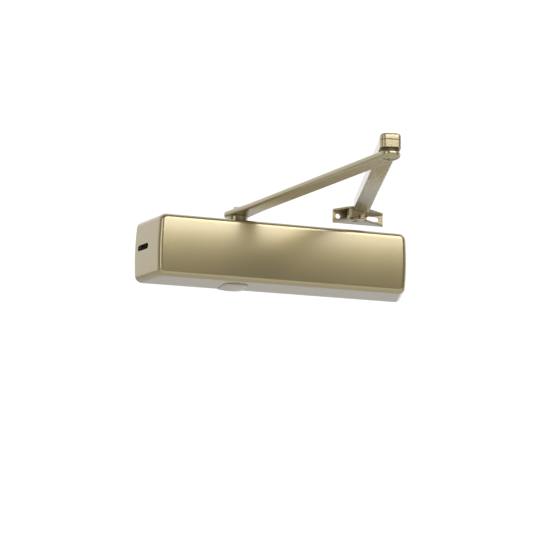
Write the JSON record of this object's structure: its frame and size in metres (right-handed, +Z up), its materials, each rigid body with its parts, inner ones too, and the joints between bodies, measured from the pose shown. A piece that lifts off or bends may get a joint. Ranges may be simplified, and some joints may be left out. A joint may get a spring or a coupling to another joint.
{
  "type": "door closer",
  "caption": "Surface-mounted door closer with a covered hydraulic body, a rack and pinion, a two-piece folding arm and a channel-shaped frame shoe, in champagne metallic paint.",
  "frame": {"origin": "middle of the body's mounting face, which is also the middle of its four screw holes", "axes": "+Z up, -Y away from the door leaf, +X from the spindle end to the spring end"},
  "size_m": [0.314, 0.3346, 0.1128],
  "materials": {
    "painted_cover": "satin champagne metallic paint",
    "painted_arm": "satin champagne metallic paint on steel",
    "cast_body": "cast iron with machined faces",
    "zinc_steel": "zinc plated steel",
    "ground_steel": "ground hardened steel, oily",
    "bearing_steel": "polished bearing steel",
    "spring_steel": "dark spring steel",
    "black_oxide": "black oxide screw",
    "bronze": "sintered bronze",
    "seal_rubber": "nitrile rubber",
    "bearing_washer": "dark bearing washer"
  },
  "bodies": {
    "closer_body": {"hydraulic_body": "cast_body", "valve_end_cap": "zinc_steel", "spring_end_cap": "zinc_steel", "valve_end_seal": "seal_rubber", "spring_end_seal": "seal_rubber", "upper_bearing": "bearing_steel", "lower_bearing": "bearing_steel", "upper_spindle_seal": "seal_rubber", "lower_spindle_seal": "seal_rubber", "upper_retainer_ring": "zinc_steel", "lower_retainer_ring": "zinc_steel", "cover_clips": "spring_steel", "clip_screws": "zinc_steel", "end_pads": "seal_rubber"},
    "cover": {"cover_shell": "painted_cover", "pinion_cap": "painted_cover"},
    "main_arm_assembly": {"pinion_shaft": "ground_steel", "main_arm": "painted_arm", "arm_washer": "painted_arm", "arm_screw": "zinc_steel", "elbow_pin": "painted_arm", "elbow_clip": "spring_steel", "elbow_washer": "bearing_washer"},
    "forearm_assembly": {"forearm": "painted_arm", "elbow_knuckle": "painted_arm", "elbow_bush": "bronze", "knuckle_screw": "zinc_steel", "shoe_bush": "bronze"},
    "shoe": {"frame_shoe": "painted_arm", "shoe_pin": "painted_arm", "shoe_washers": "bearing_washer"},
    "piston": {"rack_piston": "ground_steel", "check_ball": "bearing_steel", "check_retainer": "bronze", "outer_spring": "spring_steel", "inner_spring": "spring_steel"},
    "spring_seat": {"spring_seat": "ground_steel"},
    "power_screw": {"power_screw": "zinc_steel"},
    "sweep_valve": {"sweep_valve": "black_oxide"},
    "latch_valve": {"latch_valve": "black_oxide"},
    "backcheck_valve": {"backcheck_valve": "black_oxide"}
  },
  "joints": [
    {"name": "cover_pull_off", "type": "slide", "parent": "closer_body", "child": "cover", "axis": [0, -1, 0], "range_m": [0, 0.075]},
    {"name": "arm_swing", "type": "hinge", "parent": "closer_body", "child": "main_arm_assembly", "pos_m": [-0.0485, -0.0275, 0], "axis": [0, 0, 1], "range_deg": [0, 180], "stiffness_Nm_per_rad": 6, "springref_deg": -34.38},
    {"name": "elbow_swing", "type": "hinge", "parent": "main_arm_assembly", "child": "forearm_assembly", "pos_m": [0.02364, -0.32343, 0.05], "axis": [0, 0, 1], "range_deg": [-140, 12]},
    {"name": "shoe_swing", "type": "hinge", "parent": "forearm_assembly", "child": "shoe", "pos_m": [0.094, -0.0145, 0.0606], "axis": [0, 0, 1], "range_deg": [-43, 18]},
    {"name": "piston_stroke", "type": "slide", "parent": "closer_body", "child": "piston", "axis": [1, 0, 0], "range_m": [0, 0.02513], "deforming": ["outer_spring", "inner_spring"]},
    {"name": "power_turn", "type": "hinge", "parent": "closer_body", "child": "power_screw", "pos_m": [0.13, -0.0275, 0], "axis": [1, 0, 0], "range_deg": [-1440.1, 1440.1]},
    {"name": "seat_travel", "type": "slide", "parent": "closer_body", "child": "spring_seat", "axis": [1, 0, 0], "range_m": [-0.006, 0.006]},
    {"name": "sweep_turn", "type": "hinge", "parent": "closer_body", "child": "sweep_valve", "pos_m": [-0.13, -0.0145, 0.0022], "axis": [-1, 0, 0], "range_deg": [-360, 360]},
    {"name": "latch_turn", "type": "hinge", "parent": "closer_body", "child": "latch_valve", "pos_m": [-0.13, -0.0245, 0.0022], "axis": [-1, 0, 0], "range_deg": [-360, 360]},
    {"name": "backcheck_turn", "type": "hinge", "parent": "closer_body", "child": "backcheck_valve", "pos_m": [-0.1, -0.05, 0], "axis": [0, -1, 0], "range_deg": [-360, 360]}
  ],
  "couplings": [
    {"joint": "piston_stroke", "follows": "arm_swing", "m_per_rad": 0.008},
    {"joint": "power_turn", "follows": "seat_travel", "rad_per_m": 4188.8}
  ]
}
